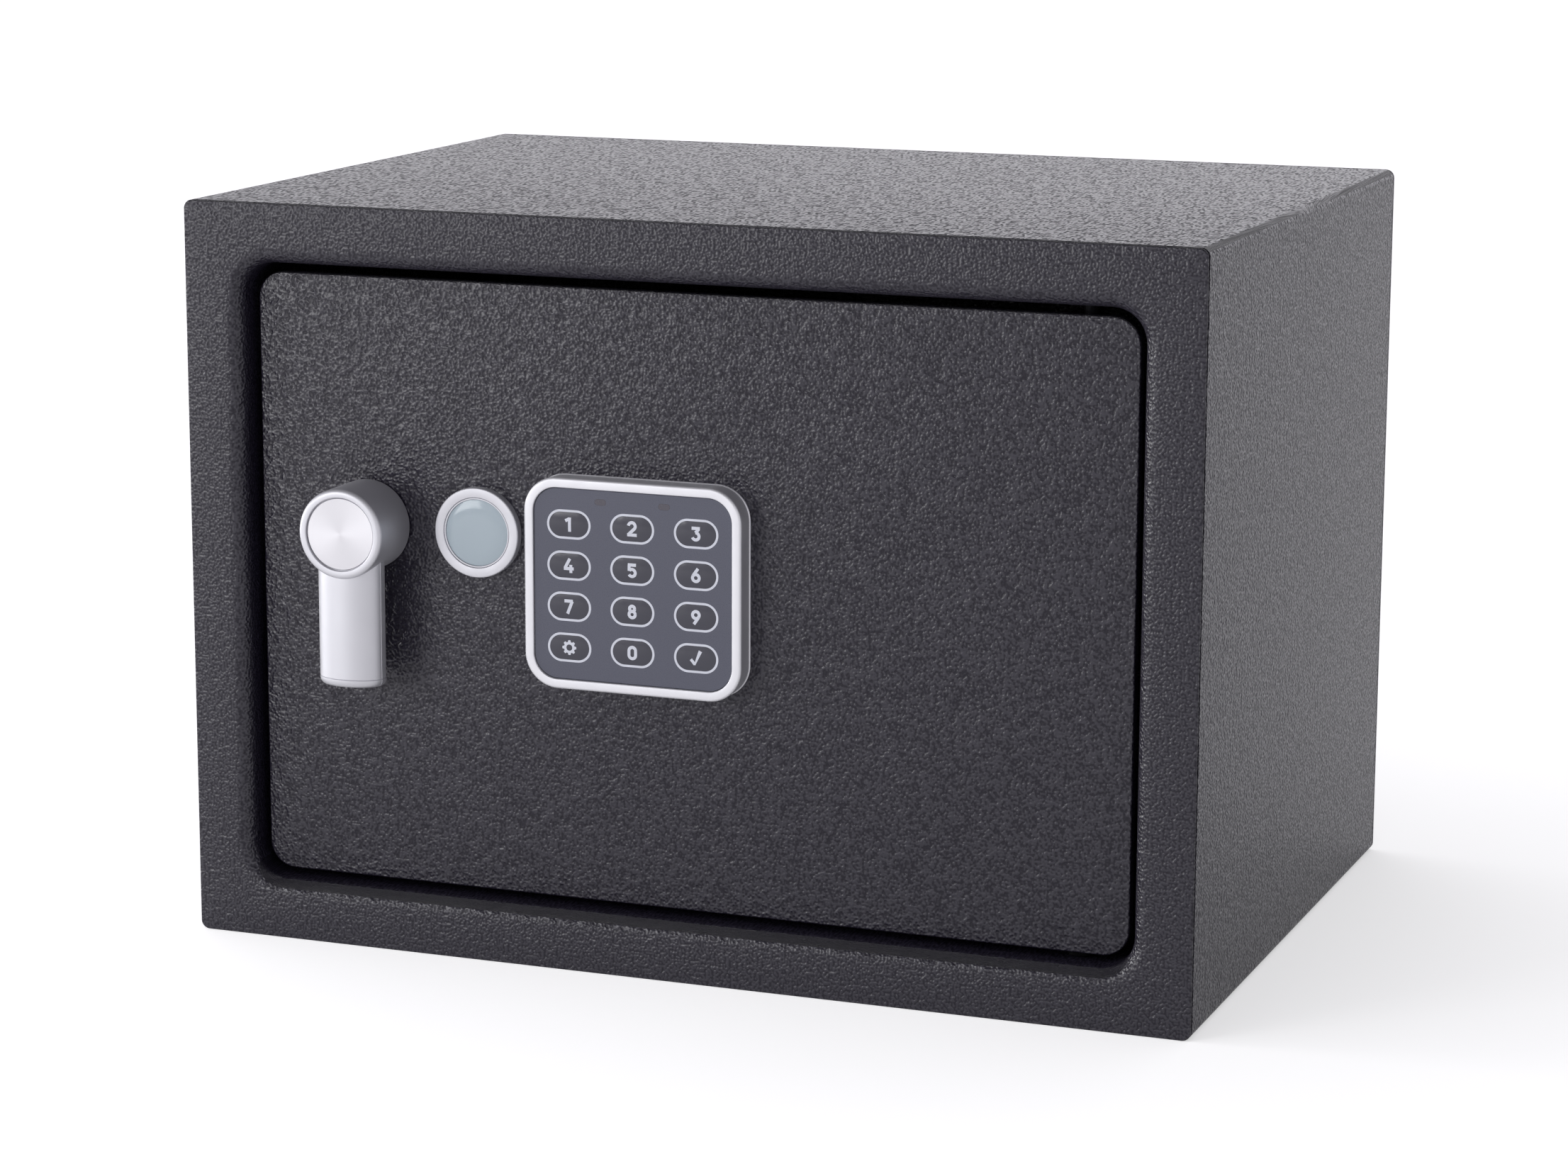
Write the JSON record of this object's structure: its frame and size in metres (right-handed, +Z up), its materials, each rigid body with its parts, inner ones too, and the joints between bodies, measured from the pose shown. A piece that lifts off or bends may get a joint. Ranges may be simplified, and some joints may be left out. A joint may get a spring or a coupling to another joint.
{
  "type": "electronic safe",
  "caption": "Steel electronic safe: recessed door on concealed hinges, knob with a hanging lever that throws sliding bolts, keypad, and an override lock behind a pull-off cap.",
  "frame": {"origin": "centre of the flat underside of the body, where the safe stands", "axes": "+Z up, +X to the right seen from the front, the front and its door face -Y"},
  "size_m": [0.35, 0.264, 0.25],
  "materials": {
    "textured_paint": "charcoal powder coat with a fine leather grain",
    "satin_metal": "satin silver casting",
    "spun_metal": "spun and brushed bright metal",
    "zinc_plate": "bright zinc plate on steel",
    "brass": "machined",
    "black_plastic": "fine moulded texture",
    "keypad_slate": "smooth slate-grey overlay with light grey printing",
    "key_rubber": "smooth domed key with a light grey figure",
    "resin": "clear domed resin over pale blue-grey",
    "circuit_board": "green solder mask",
    "felt": "needled felt",
    "silicone": "smooth",
    "cell_jacket": "plain printed jacket",
    "red_plastic": "moulded"
  },
  "bodies": {
    "body": {"body_shell": "textured_paint", "front_frame": "textured_paint", "back_panel": "textured_paint", "floor_mat": "felt"},
    "door": {"door_plate": "textured_paint", "hinge_block_upper": "textured_paint", "hinge_block_lower": "textured_paint", "hinge_pin_upper": "zinc_plate", "hinge_pin_lower": "zinc_plate", "spindle_bush": "black_plastic", "bolt_guide": "textured_paint", "solenoid_body": "zinc_plate", "solenoid_spring": "zinc_plate", "lock_body": "satin_metal", "lock_nut": "zinc_plate", "keypad_bezel": "satin_metal", "keypad_base": "black_plastic", "keypad_board": "circuit_board", "key_mat": "silicone", "keypad_panel": "keypad_slate", "led_lens": "black_plastic", "door_cover": "black_plastic", "control_board": "circuit_board", "ribbon_cable": "silicone", "cover_screw_lower": "zinc_plate", "cover_screw_upper": "zinc_plate", "battery_tray": "black_plastic", "battery_contact_left": "zinc_plate", "battery_contact_right": "zinc_plate", "battery_1": "cell_jacket", "battery_2": "cell_jacket", "battery_3": "cell_jacket", "battery_4": "cell_jacket"},
    "knob": {"handle": "satin_metal", "knob_disc": "spun_metal", "spindle": "zinc_plate", "crank": "zinc_plate", "spindle_clip": "zinc_plate"},
    "bolts": {"bolt_carriage": "zinc_plate", "locking_bolt_upper": "spun_metal", "locking_bolt_lower": "spun_metal"},
    "plunger": {"solenoid_plunger": "zinc_plate"},
    "key_cylinder": {"lock_plug": "brass", "lock_tail": "zinc_plate"},
    "lock_cap": {"badge_ring": "satin_metal", "badge_disc": "resin"},
    "lid": {"battery_lid": "black_plastic"},
    "reset": {"reset_button": "red_plastic"},
    "key_1_body": {"key_1": "key_rubber"},
    "key_2_body": {"key_2": "key_rubber"},
    "key_3_body": {"key_3": "key_rubber"},
    "key_4_body": {"key_4": "key_rubber"},
    "key_5_body": {"key_5": "key_rubber"},
    "key_6_body": {"key_6": "key_rubber"},
    "key_7_body": {"key_7": "key_rubber"},
    "key_8_body": {"key_8": "key_rubber"},
    "key_9_body": {"key_9": "key_rubber"},
    "key_set_body": {"key_set": "key_rubber"},
    "key_0_body": {"key_0": "key_rubber"},
    "key_enter_body": {"key_enter": "key_rubber"}
  },
  "joints": [
    {"name": "door_swing", "type": "hinge", "parent": "body", "child": "door", "pos_m": [0.134, -0.1075, 0.0245], "axis": [0, 0, 1], "range_deg": [0, 100]},
    {"name": "handle_turn", "type": "hinge", "parent": "door", "child": "knob", "pos_m": [-0.1125, -0.1165, 0.144], "axis": [0, 1, 0], "range_deg": [0, 90]},
    {"name": "bolt_slide", "type": "slide", "parent": "door", "child": "bolts", "axis": [-1, 0, 0], "range_m": [0, 0.018]},
    {"name": "plunger_slide", "type": "slide", "parent": "door", "child": "plunger", "axis": [0, 0, -1], "range_m": [0, 0.005], "deforming": ["solenoid_spring"]},
    {"name": "key_cylinder_turn", "type": "hinge", "parent": "door", "child": "key_cylinder", "pos_m": [-0.07225, -0.1165, 0.144], "axis": [0, 1, 0], "range_deg": [0, 90]},
    {"name": "lock_cap_pull", "type": "slide", "parent": "door", "child": "lock_cap", "axis": [0, -1, 0], "range_m": [0, 0.02]},
    {"name": "battery_lid_pull", "type": "slide", "parent": "door", "child": "lid", "axis": [0, 1, 0], "range_m": [0, 0.02]},
    {"name": "reset_press", "type": "slide", "parent": "door", "child": "reset", "axis": [0, -1, 0], "range_m": [0, 0.0015], "stiffness_N_per_m": 300},
    {"name": "key_1_press", "type": "slide", "parent": "door", "child": "key_1_body", "axis": [0, 1, 0], "range_m": [0, 0.0005], "stiffness_N_per_m": 800},
    {"name": "key_2_press", "type": "slide", "parent": "door", "child": "key_2_body", "axis": [0, 1, 0], "range_m": [0, 0.0005], "stiffness_N_per_m": 800},
    {"name": "key_3_press", "type": "slide", "parent": "door", "child": "key_3_body", "axis": [0, 1, 0], "range_m": [0, 0.0005], "stiffness_N_per_m": 800},
    {"name": "key_4_press", "type": "slide", "parent": "door", "child": "key_4_body", "axis": [0, 1, 0], "range_m": [0, 0.0005], "stiffness_N_per_m": 800},
    {"name": "key_5_press", "type": "slide", "parent": "door", "child": "key_5_body", "axis": [0, 1, 0], "range_m": [0, 0.0005], "stiffness_N_per_m": 800},
    {"name": "key_6_press", "type": "slide", "parent": "door", "child": "key_6_body", "axis": [0, 1, 0], "range_m": [0, 0.0005], "stiffness_N_per_m": 800},
    {"name": "key_7_press", "type": "slide", "parent": "door", "child": "key_7_body", "axis": [0, 1, 0], "range_m": [0, 0.0005], "stiffness_N_per_m": 800},
    {"name": "key_8_press", "type": "slide", "parent": "door", "child": "key_8_body", "axis": [0, 1, 0], "range_m": [0, 0.0005], "stiffness_N_per_m": 800},
    {"name": "key_9_press", "type": "slide", "parent": "door", "child": "key_9_body", "axis": [0, 1, 0], "range_m": [0, 0.0005], "stiffness_N_per_m": 800},
    {"name": "key_set_press", "type": "slide", "parent": "door", "child": "key_set_body", "axis": [0, 1, 0], "range_m": [0, 0.0005], "stiffness_N_per_m": 800},
    {"name": "key_0_press", "type": "slide", "parent": "door", "child": "key_0_body", "axis": [0, 1, 0], "range_m": [0, 0.0005], "stiffness_N_per_m": 800},
    {"name": "key_enter_press", "type": "slide", "parent": "door", "child": "key_enter_body", "axis": [0, 1, 0], "range_m": [0, 0.0005], "stiffness_N_per_m": 800}
  ],
  "couplings": [
    {"joint": "handle_turn", "follows": "bolt_slide", "rad_per_m": 87.26}
  ]
}
